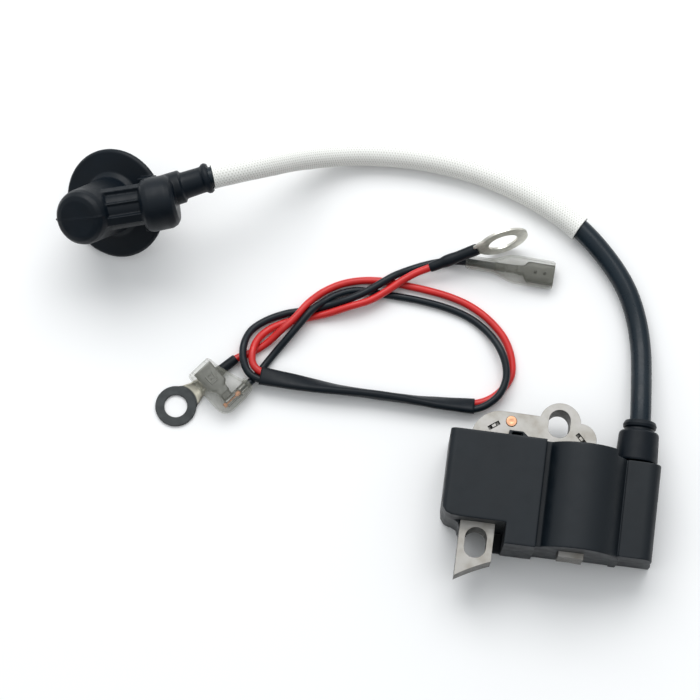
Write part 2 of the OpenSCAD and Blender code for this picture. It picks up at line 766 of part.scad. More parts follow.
module blade_receptacle_flag() {
  color("silver") flag_frame() {
    translate([-1.6, 4.6, 0]) rotate([0, 0, 90]) blade_box();
    translate([-3, 1, -box_h / 2]) cube([2.8, 3.7, sheet]);
    translate([1.6, 0, 0]) crimp_barrel(2.6, 1.4);
    translate([-3.4, 0, 0]) rotate([0, 90, 0]) tube(1.25, 0.8, 3.6);
    translate([-3.2, -0.7, -1.45]) cube([7, 1.8, 0.35]);
  }
}

module strands_flag() {
  color("peru") flag_frame() translate([-4.2, 0, 0]) rotate([0, 90, 0])
    cylinder(r = 0.75, h = 6.1, $fn = 24);
}

module clear_sleeve_flag() {
  h = 3.8;
  color([0.9, 0.92, 0.9, 0.5]) flag_frame() difference() {
    translate([0, 0, -h / 2]) linear_extrude(h)
      polygon([[-5.9, 13.2], [1.7, 13.4], [2, 9.8], [3.7, 4.4], [4.6, 2], [5.4, 1.9], [5.4, -1.9],
               [2, -2.5], [-3.6, -2.8], [-5.8, -1.5], [-6.4, 0.4], [-6.2, 6.8]]);
    translate([0, 0, -h / 2 + film]) linear_extrude(h - 2 * film)
      polygon([[-5.4, 20], [1.4, 20], [1.5, 9.6], [3.2, 4.2], [4.2, 1.45], [7, 1.45], [7, -1.45],
               [2, -2], [-3.4, -2.3], [-5.4, -1.2], [-5.9, 0.5], [-5.7, 6.8]]);
  }
}

housing();
potting_resin();
core_stack();
ground_rivet();
primary_bobbin();
primary_winding();
secondary_bobbin();
secondary_winding();
circuit_board();
power_transistor();
control_chip();
storage_capacitor();
board_resistors();
rectifier_diode();
winding_pins();
kill_terminal_tab();
hv_contact_pin();
lead_seal_boot();
hv_lead();
heat_sleeve();
plug_boot();
plug_contact_spring();
red_wire();
black_wire();
harness_sleeve();
ring_terminal_small();
ring_terminal_large();
shrink_tube_small();
shrink_tube_large();
blade_receptacle_straight();
clear_sleeve_straight();
strands_straight();
blade_receptacle_flag();
clear_sleeve_flag();
strands_flag();
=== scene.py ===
"""Ignition coil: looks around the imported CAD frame. Routes and outlines are in millimetres."""
import json
import math

import bmesh
import bpy
from mathutils import Matrix, Vector


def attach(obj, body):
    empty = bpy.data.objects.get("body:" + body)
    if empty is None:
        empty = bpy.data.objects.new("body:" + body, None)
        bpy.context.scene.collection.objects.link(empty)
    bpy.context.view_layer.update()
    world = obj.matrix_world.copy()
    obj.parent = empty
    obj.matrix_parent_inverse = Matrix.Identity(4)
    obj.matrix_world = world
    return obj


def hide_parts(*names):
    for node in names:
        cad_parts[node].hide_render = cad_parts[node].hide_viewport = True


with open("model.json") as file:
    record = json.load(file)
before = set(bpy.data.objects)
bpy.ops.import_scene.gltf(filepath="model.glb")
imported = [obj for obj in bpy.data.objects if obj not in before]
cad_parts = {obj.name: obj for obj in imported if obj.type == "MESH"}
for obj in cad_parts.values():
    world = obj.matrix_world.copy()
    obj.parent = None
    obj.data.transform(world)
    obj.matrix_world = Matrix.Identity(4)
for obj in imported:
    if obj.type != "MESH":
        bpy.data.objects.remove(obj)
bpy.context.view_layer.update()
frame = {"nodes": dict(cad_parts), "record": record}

MM = 0.001
SCENE = bpy.context.scene

# ---------------------------------------------------------------- sizes, as in the CAD source
LEAD_D = 5.8
SLEEVE_D = 6.6
FLOOR_GAP = 0.02
WIRE_D = 2.1
LEAD_EXIT = (22.1, 24.4, 8.5)
CORE_Z, CORE_TOP = 6.5, 15.0
LAMINATION = 0.5
GROOVE_DEPTH, GROOVE_SLOPE = 0.05, 0.07
RIVET = (-13.2, 18.5)
KEY_SLOTS = ((-17.8, 16.8, 36), (6.1, 16.1, -45))
KEY_SLOT_DEPTH = 1.6
BOOT_POS = Vector((-130.4, 66.7, 11.1))
BOOT_TILT, BOOT_AZ = 38.8, 235.2
CONTACT_ROOT = (0, 0, 13.5)
SADDLE_POS = Vector((-116.2, 64.9, 23.4))
LEAD_END = Vector((-114.2, 68.8, 23.5))
CONTACT = {"r": 3.4, "wire": 0.9, "turns": 4, "low": 6.95, "pitch": 1.15}
SMALL_RING = (-105.8, 13.9, 0)
SMALL_RING_AZ = 46.3
# radius in mm round the small ring within which its tin is painted dark: a painted dark reflection on the
# flat ring face
PAINTED_REFLECTION_RADIUS = 6.2
CRIMP_Z = 1.6
LARGE_RING = (-21.3, 71.1, 7.5)
LARGE_RING_AZ, LARGE_RING_TILT = 204.5, 97
SHRINK_START = (-40.6, 61.9, 3.9)
SHRINK_AZ, SHRINK_EL = 26.2, 12.5
RING_T = 0.8
BARREL_BORE_R = 1.12
STRAIGHT_POS, STRAIGHT_AZ = (-31, 65.4, 2.3), -2
FLAG_POS, FLAG_AZ, FLAG_TILT = (-89.6, 18.4, 3), 51.9, 15
BLADE_BOX_W, BLADE_BOX_H = 5.5, 1.95
BOX_FLOOR = -0.95
BOX_T, LINK_T, CRIMP_T = 0.36, 0.34, 0.35
WIRE_GAP = 1.12
FLAT_R, FLAT_WALL = 1.42, 0.2

# ---------------------------------------------------------------- routes, as in the CAD source
HV_ROUTE = [
    (22.1, 11, 8.5), (22.1, 24.4, 8.5), (21.7, 31, 7.8), (21.3, 38, 5.8), (20.5, 46, 3.9),
    (18.5, 54.5, 3.1), (15, 62.5, 3.1), (9.5, 70, 3.1), (0, 78.8, 3.4), (-10, 84.4, 3.5),
    (-21, 88.9, 3.5), (-32, 91.8, 3.5), (-43, 93.3, 3.5), (-54, 93.5, 3.5), (-64, 92.6, 3.8),
    (-73, 90.2, 6), (-81, 86.4, 11.3), (-87, 82.2, 17.6), (-92.8, 78.3, 22.8), (-98.2, 75.5, 25),
    (-102.8, 73.7, 25.3), (-114.2, 68.8, 23.5),
]
SLEEVE_FIRST, SLEEVE_LAST = 8, 20
FLAT_ROUTE = [
    (-23.5, 24.3, 2.1), (-33.5, 23.9, 2.4), (-43.5, 23.8, 2.6), (-53.5, 23.9, 2.6),
    (-63.5, 24, 2.8), (-73.5, 24.4, 3.2), (-83.5, 24.9, 3.6),
]
FLAT_TURN = [32, 52, 78, 80, 60, 28, 4]


def in_flat(i, side):
    """A wire's place in the flat sleeve; the black wire turns up over the red one."""
    a = math.radians(FLAT_TURN[i])
    x, y, z = FLAT_ROUTE[i]
    return (x, y - side * WIRE_GAP * math.cos(a), z + side * WIRE_GAP * math.sin(a))


RED_ROUTE = [
    (-96, 24, 1.6), (-90.8, 29.5, 1.4), (-87.5, 31.4, 1.2), (-83.5, 34.5, 1.3), (-79.2, 39.1, 3.2),
    (-76.2, 42.7, 3.4), (-73.3, 47.2, 3.1), (-69.3, 51.7, 1.4), (-64.5, 54.7, 1.1), (-59, 56.4, 1.1),
    (-52.5, 57, 1.1), (-46, 56.5, 1.1), (-40, 55.9, 1.1), (-34, 54.9, 1.1), (-28, 53, 1.1),
    (-22.5, 49.8, 1.1), (-17.5, 45, 1.1), (-14.8, 39.5, 1.1), (-14.3, 34.5, 1.1),
    (-16.3, 30.3, 1.1), (-19.2, 27.3, 1.1),
    *[in_flat(i, -1) for i in range(len(FLAT_ROUTE))],
    (-86, 28, 3.6), (-86.6, 31.4, 3.5), (-85.9, 35, 2.4), (-83.5, 38.5, 1.2), (-79, 41.4, 1.1),
    (-73, 43.6, 1.1), (-67.5, 45.4, 1.9), (-61.5, 47.9, 3.3), (-56, 50.5, 3.3), (-51.5, 54, 3.3),
    (-47.8, 57.3, 3.5), (-44.5, 59.8, 3.5), (-40.6, 61.9, 3.9), (-36.6, 63.9, 4.9),
]
BLACK_ROUTE = [
    (-88.1, 20.3, 3), (-86.2, 22.7, 2.9), (-84.8, 24.9, 1.6), (-82.8, 28.6, 1.1), (-80.3, 32.7, 1.4),
    (-77.3, 37, 2.9), (-74.6, 41.1, 3.5), (-71.7, 45.6, 3.5), (-68.6, 48.9, 2), (-65.6, 51.3, 1.2),
    (-60, 53.4, 1.1), (-52, 53.2, 1.1), (-43, 52.8, 1.1), (-34, 51.5, 1.1), (-27.5, 49.4, 1.1),
    (-22, 45.7, 1.8), (-18.3, 41.2, 3.2), (-16.2, 36.8, 3.4), (-15.7, 32.6, 3.4),
    (-17, 28.3, 3.4), (-19.8, 25.2, 3),
    *[in_flat(i, 1) for i in range(len(FLAT_ROUTE))],
    (-86.8, 25.3, 3.8), (-88.8, 28.8, 3.8), (-89.3, 33, 3.4), (-88, 37.8, 1.6), (-84.5, 41.2, 1.1),
    (-79, 44.1, 1.1), (-72.5, 46, 1.1), (-67, 48, 2), (-62, 50, 3.3), (-57, 53.1, 3.4),
    (-52.6, 56.6, 3.4), (-50.5, 58.3, 3.1), (-47.5, 60.4, 1.9), (-43.5, 62.6, 1.1),
    (-39.5, 64.2, 1.1), (-35.5, 65.3, 1.1), (-30.5, 65.4, 2.1), (-22.5, 65.1, 2.3),
]


def linked(name, data):
    """A new object of the scene."""
    obj = bpy.data.objects.new(name, data)
    SCENE.collection.objects.link(obj)
    return obj


# ---------------------------------------------------------------- camera, light and floor
def look(place, target, right):
    """World matrix of a camera or light at place that faces target, with its right side along right."""
    back = (Vector(place) - Vector(target)).normalized()
    side = (Vector(right) - Vector(right).dot(back) * back).normalized()
    turn = Matrix((side, back.cross(side), back)).transposed().to_4x4()
    return Matrix.Translation(Vector(place) * MM) @ turn


def camera():
    data = bpy.data.cameras.new("camera")
    data.sensor_width, data.lens = 36, 128.57
    data.clip_start, data.clip_end = 0.01, 20
    SCENE.camera = linked("camera", data)
    SCENE.camera.matrix_world = look((-37.7, -131.6, 679.2), (-59.85, 36.3, 0), (0.9914, 0.1305, 0))


def softbox(name, place, size, watts):
    data = bpy.data.lights.new(name, "AREA")
    data.shape, data.energy = "RECTANGLE", watts
    data.size, data.size_y = size[0] * MM, size[1] * MM
    linked(name, data).matrix_world = look(place, (-50, 40, 0), (1, 0, 0))


def studio():
    """A pale room that is brightest above and behind the object, one large softbox and the paper floor."""
    SCENE.view_settings.view_transform = "Standard"
    world = bpy.data.worlds.new("studio")
    world.use_nodes = True
    tree = world.node_tree
    toward = tree.nodes.new("ShaderNodeVectorMath")
    toward.operation = "DOT_PRODUCT"
    toward.inputs[1].default_value = Vector((-0.25, 0.6, 0.76)).normalized()
    share = tree.nodes.new("ShaderNodeMapRange")
    share.interpolation_type = "SMOOTHSTEP"
    share.inputs["From Min"].default_value, share.inputs["From Max"].default_value = -0.35, 0.95
    share.inputs["To Min"].default_value, share.inputs["To Max"].default_value = 0.14, 1.08
    tree.links.new(tree.nodes.new("ShaderNodeTexCoord").outputs["Generated"], toward.inputs[0])
    tree.links.new(toward.outputs["Value"], share.inputs["Value"])
    tree.links.new(share.outputs["Result"], tree.nodes["Background"].inputs["Strength"])
    tree.nodes["Background"].inputs["Color"].default_value = (0.95, 0.98, 1, 1)
    SCENE.world = world
    softbox("softbox_back", (-160, 560, 700), (900, 520), 4.6)
    bpy.ops.mesh.primitive_plane_add(size=3, location=(-0.05, 0.04, 0))
    floor = bpy.context.object
    floor.name = "floor"
    paper = Nodes("pale_paper")
    paper.shader(base=(0.93, 0.93, 0.93), rough=0.9, specular=0.1)
    paper.bump(paper.noise(900, 3), 0.05, 0.05)
    floor.data.materials.append(paper.material)


# ---------------------------------------------------------------- materials
class Nodes:
    """A procedural material being built. Feature sizes are per metre, bump heights in mm."""

    def __init__(self, name):
        self.material = bpy.data.materials.new(name)
        self.material.use_nodes = True
        self.tree = self.material.node_tree
        self.bsdf = self.tree.nodes["Principled BSDF"]
        self.place = self.add("ShaderNodeTexCoord").outputs["Object"]
        self.last_bump = None

    def add(self, kind, **values):
        node = self.tree.nodes.new(kind)
        for key, value in values.items():
            setattr(node, key, value)
        return node

    def link(self, source, target):
        self.tree.links.new(source, target)

    def shader(self, base, rough, metallic=0.0, specular=0.5, coat=0.0, sheen=0.0):
        s = self.bsdf.inputs
        s["Base Color"].default_value = (*base, 1)
        s["Roughness"].default_value = rough
        s["Metallic"].default_value = metallic
        s["Specular IOR Level"].default_value = specular
        s["Coat Weight"].default_value = coat
        s["Coat Roughness"].default_value = 0.1
        s["Sheen Weight"].default_value = sheen

    def noise(self, scale, detail, stretch=(1, 1, 1)):
        node = self.add("ShaderNodeTexNoise")
        node.inputs["Scale"].default_value = scale
        node.inputs["Detail"].default_value = detail
        place = self.place
        if stretch != (1, 1, 1):
            mapping = self.add("ShaderNodeMapping")
            mapping.inputs["Scale"].default_value = stretch
            self.link(place, mapping.inputs["Vector"])
            place = mapping.outputs["Vector"]
        self.link(place, node.inputs["Vector"])
        return node.outputs["Fac"]

    def ramp(self, value, stops):
        """Colours along a value: stops are (position, (r, g, b))."""
        node = self.add("ShaderNodeValToRGB")
        e = node.color_ramp.elements
        while len(e) < len(stops):
            e.new(0.5)
        for i, (at, colour) in enumerate(stops):
            e[i].position, e[i].color = at, (*colour, 1)
        self.link(value, node.inputs["Fac"])
        return node.outputs["Color"]

    def mapped(self, value, source, target=(0, 1), kind="LINEAR"):
        """A value carried from the range source to the range target."""
        node = self.add("ShaderNodeMapRange", interpolation_type=kind)
        node.inputs["From Min"].default_value, node.inputs["From Max"].default_value = source
        node.inputs["To Min"].default_value, node.inputs["To Max"].default_value = target
        self.link(value, node.inputs["Value"])
        return node.outputs["Result"]

    def spread(self, value, low, high):
        """Maps the middle of a noise onto low..high."""
        return self.mapped(value, (0.3, 0.7), (low, high))

    def mixed(self, share, low, high):
        """Colour low where share is 0, colour high where it is 1; low may be a plain (r, g, b)."""
        node = self.add("ShaderNodeMix", data_type="RGBA")
        self.link(share, node.inputs["Factor"])
        if isinstance(low, tuple):
            node.inputs[6].default_value = (*low, 1)
        else:
            self.link(low, node.inputs[6])
        self.link(high, node.inputs[7])
        return node.outputs[2]

    def colour(self, value):
        self.link(value, self.bsdf.inputs["Base Color"])

    def rough(self, value):
        self.link(value, self.bsdf.inputs["Roughness"])

    def bump(self, value, strength, height):
        node = self.add("ShaderNodeBump")
        node.inputs["Strength"].default_value = strength
        node.inputs["Distance"].default_value = height * MM
        self.link(value, node.inputs["Height"])
        if self.last_bump is not None:
            self.link(self.last_bump, node.inputs["Normal"])
        self.last_bump = node.outputs["Normal"]
        self.link(self.last_bump, self.bsdf.inputs["Normal"])


def shades(base, spread):
    """A darker and a lighter version of a colour."""
    return [tuple(c * (1 - spread) for c in base), tuple(min(1, c * (1 + spread)) for c in base)]


def plain(name, base, rough, spread=0.12, patch=160, grain=2600, grain_h=0.02, **more):
    """Colour drifts in patches, gloss drifts with it, and a fine grain covers the surface."""
    m = Nodes(name)
    m.shader(base, rough, **more)
    low, high = shades(base, spread)
    m.colour(m.ramp(m.noise(patch, 4), [(0.3, low), (0.7, high)]))
    m.rough(m.spread(m.noise(patch * 3, 5), rough - 0.06, rough + 0.08))
    m.bump(m.noise(grain, 3), 0.5, grain_h)
    return m


def braid_material():
    m = Nodes("glass_fibre_braid")
    m.shader((0.82, 0.82, 0.79), 0.62, specular=0.4, sheen=0.15)
    height = m.add("ShaderNodeAttribute", attribute_name="braid").outputs["Fac"]
    # The colour follows the thread height: the gaps between threads are painted shade.
    m.colour(m.ramp(height, [(0.0, (0.30, 0.30, 0.27)), (0.45, (0.70, 0.70, 0.66)),
                             (1.0, (0.90, 0.90, 0.87))]))
    m.rough(m.spread(m.noise(1500, 3), 0.5, 0.75))
    m.bump(m.noise(5200, 3), 0.5, 0.03)
    return m


def vinyl_material():
    """Milky clear vinyl: seen through face on, denser towards its edges."""
    m = Nodes("clear_vinyl")
    m.shader((0.42, 0.42, 0.35), 0.22, specular=0.6, coat=0.5)
    m.colour(m.ramp(m.noise(240, 3), [(0.3, (0.38, 0.38, 0.31)), (0.7, (0.48, 0.48, 0.41))]))
    facing = m.add("ShaderNodeLayerWeight")
    facing.inputs["Blend"].default_value = 0.35
    m.link(m.mapped(facing.outputs["Facing"], (0, 1), (0.09, 0.42)), m.bsdf.inputs["Alpha"])
    m.rough(m.spread(m.noise(500, 3), 0.18, 0.34))
    m.bump(m.noise(420, 2), 0.5, 0.12)
    return m


def steel_material():
    """Punched core sheet: light grey with faint stains, and darker on its upright faces as painted shade."""
    m = Nodes("punched_steel")
    m.shader((0.6, 0.585, 0.56), 0.42, metallic=1.0)
    tone = m.ramp(m.noise(210, 5), [(0.32, (0.32, 0.30, 0.27)), (0.5, (0.39, 0.377, 0.352)),
                                    (0.7, (0.415, 0.40, 0.385))])
    upright = m.add("ShaderNodeSeparateXYZ")
    m.link(m.add("ShaderNodeTexCoord").outputs["Normal"], upright.inputs["Vector"])
    # Upright faces are painted dark: painted shade on the core's sides and slot walls.
    painted_side_shade = (0.12, 0.118, 0.112)
    m.colour(m.mixed(m.mapped(upright.outputs["Z"], (0.1, 0.7)), painted_side_shade, tone))
    m.rough(m.spread(m.noise(900, 5), 0.36, 0.54))
    m.bump(m.noise(4200, 4, (1, 0.25, 1)), 0.6, 0.012)
    m.bump(m.noise(700, 2), 0.3, 0.02)
    return m


def terminal_material(name, base, far=None, far_base=None):
    """Tinned sheet. Within a set radius of the point far it keeps the dark base, a painted dark reflection;
    past it the sheet turns to the lighter far_base.
    """
    rough = 0.36
    m = Nodes(name)
    m.shader(base, rough, metallic=1.0)
    low, high = shades(base, 0.18)
    tone = m.ramp(m.noise(420, 5), [(0.3, low), (0.7, high)])
    if far:
        away = m.add("ShaderNodeVectorMath", operation="DISTANCE")
        away.inputs[1].default_value = Vector(far) * MM
        m.link(m.place, away.inputs[0])
        border = ((PAINTED_REFLECTION_RADIUS - 0.25) * MM, (PAINTED_REFLECTION_RADIUS + 0.25) * MM)
        share = m.mapped(away.outputs["Value"], border, kind="SMOOTHSTEP")
        low, high = shades(far_base, 0.15)
        tone = m.mixed(share, tone, m.ramp(m.noise(600, 4), [(0.3, low), (0.7, high)]))
    m.colour(tone)
    m.rough(m.spread(m.noise(1400, 4), rough - 0.08, rough + 0.12))
    m.bump(m.noise(3000, 3, (1, 0.3, 1)), 0.4, 0.01)
    return m


def winding_material():
    """Fine enamelled wire, its turns side by side along Y."""
    m = Nodes("enamelled_wire")
    m.shader((0.45, 0.16, 0.06), 0.32, metallic=0.6, coat=0.5)
    wave = m.add("ShaderNodeTexWave", bands_direction="Y")
    wave.inputs["Scale"].default_value = 900
    wave.inputs["Distortion"].default_value = 0.4
    m.link(m.place, wave.inputs["Vector"])
    # The colour darkens between turns: painted shade in the grooves between the wires.
    m.colour(m.ramp(wave.outputs["Fac"], [(0.1, (0.2, 0.06, 0.02)), (0.7, (0.55, 0.2, 0.08))]))
    m.bump(wave.outputs["Fac"], 0.8, 0.06)
    return m


def board_material():
    m = plain("solder_mask", (0.02, 0.12, 0.05), 0.35, coat=0.3)
    bricks = m.add("ShaderNodeTexBrick")
    bricks.inputs["Scale"].default_value = 260
    bricks.inputs["Mortar Size"].default_value = 0.03
    m.link(m.place, bricks.inputs["Vector"])
    m.bump(bricks.outputs["Fac"], 0.4, 0.03)
    return m


MATERIALS = {
    "housing_plastic": lambda: plain("moulded_housing", (0.0030, 0.0064, 0.0100), 0.46, patch=90, grain=2400,
                                     grain_h=0.016, specular=0.31),
    "resin": lambda: plain("cast_resin", (0.012, 0.012, 0.014), 0.24, patch=120, grain=260, grain_h=0.22),
    "core_steel": steel_material,
    "copper": lambda: plain("bright_copper", (0.70, 0.37, 0.22), 0.3, metallic=1.0, grain=1800),
    "bobbin_plastic": lambda: plain("natural_nylon", (0.7, 0.64, 0.52), 0.5),
    "winding_copper": winding_material,
    "board_laminate": board_material,
    "component_black": lambda: plain("moulded_epoxy", (0.015, 0.015, 0.016), 0.5),
    "component_film": lambda: plain("dipped_epoxy", (0.5, 0.27, 0.04), 0.3, coat=0.4),
    "terminal_tin": lambda: terminal_material("tinned_sheet", (0.68, 0.665, 0.60)),
    # The receptacles' tin is painted dark: painted shade under their clear vinyl sleeves.
    "straight_tin": lambda: terminal_material("tinned_sheet_painted_deep_shade", (0.05, 0.05, 0.046)),
    "flag_tin": lambda: terminal_material("tinned_sheet_painted_shade", (0.23, 0.23, 0.215)),
    # The small ring's face is painted dark as a painted reflection; its neck and barrel keep the lighter tin.
    "terminal_dark": lambda: terminal_material("tinned_sheet_painted_reflection", (0.048, 0.052, 0.053), SMALL_RING,
                                               (0.42, 0.40, 0.33)),
    "brass_pin": lambda: plain("turned_brass", (0.66, 0.5, 0.22), 0.28, metallic=1.0),
    "boot_rubber": lambda: plain("moulded_rubber", (0.0015, 0.0046, 0.0085), 0.42, patch=130, grain=1700,
                                 grain_h=0.03, spread=0.2, specular=0.21),
    "lead_jacket": lambda: plain("lead_jacket", (0.0025, 0.0095, 0.0165), 0.3, grain=1100, specular=0.28),
    "braided_sleeve": braid_material,
    "spring_steel": lambda: plain("drawn_wire", (0.55, 0.55, 0.56), 0.26, metallic=1.0),
    "wire_red": lambda: plain("red_insulation", (0.56, 0.012, 0.011), 0.34, grain=1300),
    "wire_black": lambda: plain("black_insulation", (0.0025, 0.0070, 0.0115), 0.32, grain=1300,
                                specular=0.28),
    "sleeve_black": lambda: plain("shrunk_tubing", (0.0025, 0.0055, 0.0090), 0.42, grain=1500, grain_h=0.03,
                                  specular=0.21),
    "clear_vinyl": vinyl_material,
}
MADE = {}
SLOT_OF = {row["node"]: row["material_slot"] for row in frame["record"]["subparts"]}
BODY_OF = {n: b for b, nodes in frame["record"]["behaviour"]["bodies"].items() for n in nodes}
# nodes painted darker than their slot's own colour: painted shade under the clear vinyl sleeves
PAINTED_SHADE_OF = {"blade_receptacle_straight": "straight_tin", "blade_receptacle_flag": "flag_tin"}


def material(slot):
    if slot not in MADE:
        MADE[slot] = MATERIALS[slot]().material
    return MADE[slot]


# ---------------------------------------------------------------- mesh tools
def mm(points):
    return [Vector(p) * MM for p in points]


def turn(pos, *turns):
    """A frame at pos (mm), turned by (axis, degrees) in order from the outside in. Works in metres."""
    m = Matrix.Translation(Vector(pos) * MM)
    for axis, degrees in turns:
        m = m @ Matrix.Rotation(math.radians(degrees), 4, axis)
    return m


def placed(at, points):
    """Points of a frame, in mm of the part's frame."""
    return [(at @ (Vector(p) * MM)) / MM for p in points]


def smooth(points, step):
    """A dense centripetal Catmull-Rom path through the points, about one point every step."""
    p = [Vector(q) for q in points]
    p = [2 * p[0] - p[1], *p, 2 * p[-1] - p[-2]]
    path = []
    for a, b, c, d in zip(p, p[1:], p[2:], p[3:]):
        ta, tb, tc = (math.sqrt((y - x).length) for x, y in ((a, b), (b, c), (c, d)))
        m1 = (c - b) + tb * ((b - a) / ta - (c - a) / (ta + tb))
        m2 = (c - b) + tb * ((d - c) / tc - (d - b) / (tb + tc))
        count = max(2, round((c - b).length / step))
        for k in range(count):
            t = k / count
            path.append((2 * t**3 - 3 * t**2 + 1) * b + (t**3 - 2 * t**2 + t) * m1
                        + (3 * t**2 - 2 * t**3) * c + (t**3 - t**2) * m2)
    return [*path, p[-2]]


def length_of(path):
    return sum((b - a).length for a, b in zip(path, path[1:]))


def transported(path, first):
    """(tangent, side, up) along a path, without twist; the first side is nearest to first."""
    side = Vector(first)
    frames = []
    for i in range(len(path)):
        t = (path[min(i + 1, len(path) - 1)] - path[max(i - 1, 0)]).normalized()
        side = (side - side.dot(t) * t).normalized()
        frames.append((t, side, t.cross(side)))
    return frames


def finish_piece(obj, node):
    """Gives a piece its material and slot, and puts it on the body of the node that it stands for."""
    slot = SLOT_OF[node]
    obj.data.materials.clear()
    obj.data.materials.append(material(PAINTED_SHADE_OF.get(node, slot)))
    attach(obj, BODY_OF[node])
    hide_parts(node)
    return obj


def mesh_piece(name, verts, faces, node=None, frame_at=None):
    """A smooth-shaded mesh object from points in mm, in a local frame if one is given."""
    at = frame_at or Matrix.Identity(4)
    data = bpy.data.meshes.new(name)
    data.from_pydata([at @ (Vector(v) * MM) for v in verts], [], faces)
    bm = bmesh.new()
    bm.from_mesh(data)
    bmesh.ops.remove_doubles(bm, verts=bm.verts, dist=1e-7)
    bmesh.ops.recalc_face_normals(bm, faces=bm.faces)
    bm.to_mesh(data)
    bm.free()
    data.shade_smooth()
    obj = linked(name, data)
    return finish_piece(obj, node) if node else obj


def skinned(rings, loop=False, cap=True):
    """Points and faces of a skin over equal closed rings; loop joins the last ring to the first."""
    n, rows = len(rings[0]), len(rings)
    verts = [p for r in rings for p in r]
    faces = []
    for i in range(rows if loop else rows - 1):
        j = (i + 1) % rows
        for k in range(n):
            m = (k + 1) % n
            faces.append((i * n + k, i * n + m, j * n + m, j * n + k))
    if cap and not loop:
        faces.append(tuple(range(n - 1, -1, -1)))
        faces.append(tuple((rows - 1) * n + k for k in range(n)))
    return verts, faces


def rounded(points, radius, closed=True, steps=4):
    """The outline with each corner replaced by a short curve that starts radius away from it."""
    p = [Vector(q) for q in points]
    out = []
    for i, corner in enumerate(p):
        if not closed and i in (0, len(p) - 1):
            out.append(corner)
            continue
        a, b = p[i - 1] - corner, p[(i + 1) % len(p)] - corner
        reach = min(radius, a.length * 0.45, b.length * 0.45)
        start, end = corner + a.normalized() * reach, corner + b.normalized() * reach
        out.append(start + a.normalized() * min(0.06, reach * 0.1))
        for k in range(steps + 1):
            t = k / steps
            out.append((1 - t)**2 * start + 2 * t * (1 - t) * corner + t**2 * end)
        out.append(end + b.normalized() * min(0.06, reach * 0.1))
    return out


def circle(centre, radius, side, up, n):
    """n points round centre, in the plane of the unit vectors side and up."""
    angles = [2 * math.pi * k / n for k in range(n)]
    return [centre + radius * (math.cos(a) * side + math.sin(a) * up) for a in angles]


def lathe(name, profile, at, node=None, n=64, loop=False, radius=0.14):
    """Turns a profile of (radius, height) round the Z axis of a frame; radius rounds its corners."""
    line = rounded(profile, radius, closed=loop)
    x, y = Vector((1, 0, 0)), Vector((0, 1, 0))
    rings = [circle(Vector((0, 0, h)), max(r, 1e-5), x, y, n) for r, h in line]
    verts, faces = skinned(rings, loop=loop, cap=False)
    return mesh_piece(name, verts, faces, node, at)


def joined(name, parts, node=None):
    """Joins mesh objects into one."""
    bm = bmesh.new()
    for part in parts:
        bm.from_mesh(part.data)
        bpy.data.objects.remove(part)
    data = bpy.data.meshes.new(name)
    bm.to_mesh(data)
    bm.free()
    data.shade_smooth()
    obj = linked(name, data)
    return finish_piece(obj, node) if node else obj


def cad_copy(name, node):
    """A copy of a CAD node's mesh with its doubled points merged."""
    bm = bmesh.new()
    bm.from_mesh(frame["nodes"][node].data)
    bmesh.ops.remove_doubles(bm, verts=bm.verts, dist=2e-6)
    data = bpy.data.meshes.new(name)
    bm.to_mesh(data)
    bm.free()
    return linked(name, data)


def applied(obj):
    """Applies an object's modifiers."""
    made = bpy.data.meshes.new_from_object(obj.evaluated_get(bpy.context.evaluated_depsgraph_get()))
    obj.modifiers.clear()
    obj.data = made
    obj.data.shade_smooth()
    return obj


def softened(obj, voxel, rounds, keep):
    """Makes one skin of all that overlaps and rounds its edges; keep is the share of faces left."""
    remesh = obj.modifiers.new("skin", "REMESH")
    remesh.mode, remesh.voxel_size = "VOXEL", voxel * MM
    soft = obj.modifiers.new("soft", "SMOOTH")
    soft.factor, soft.iterations = 0.5, rounds
    obj.modifiers.new("fewer", "DECIMATE").ratio = keep
    return applied(obj)


def cord_curve(name, route, diameter, node, step=1.2):
    """A round cord as a curve along its route."""
    path = smooth(mm(route), step * MM)
    data = bpy.data.curves.new(name, "CURVE")
    data.dimensions, data.bevel_depth, data.bevel_resolution = "3D", diameter / 2 * MM, 5
    data.use_fill_caps = True
    line = data.splines.new("POLY")
    line.points.add(len(path) - 1)
    for point, place in zip(line.points, path):
        point.co = (*place, 1)
    line.use_smooth = True
    return finish_piece(linked(name, data), node), length_of(path)


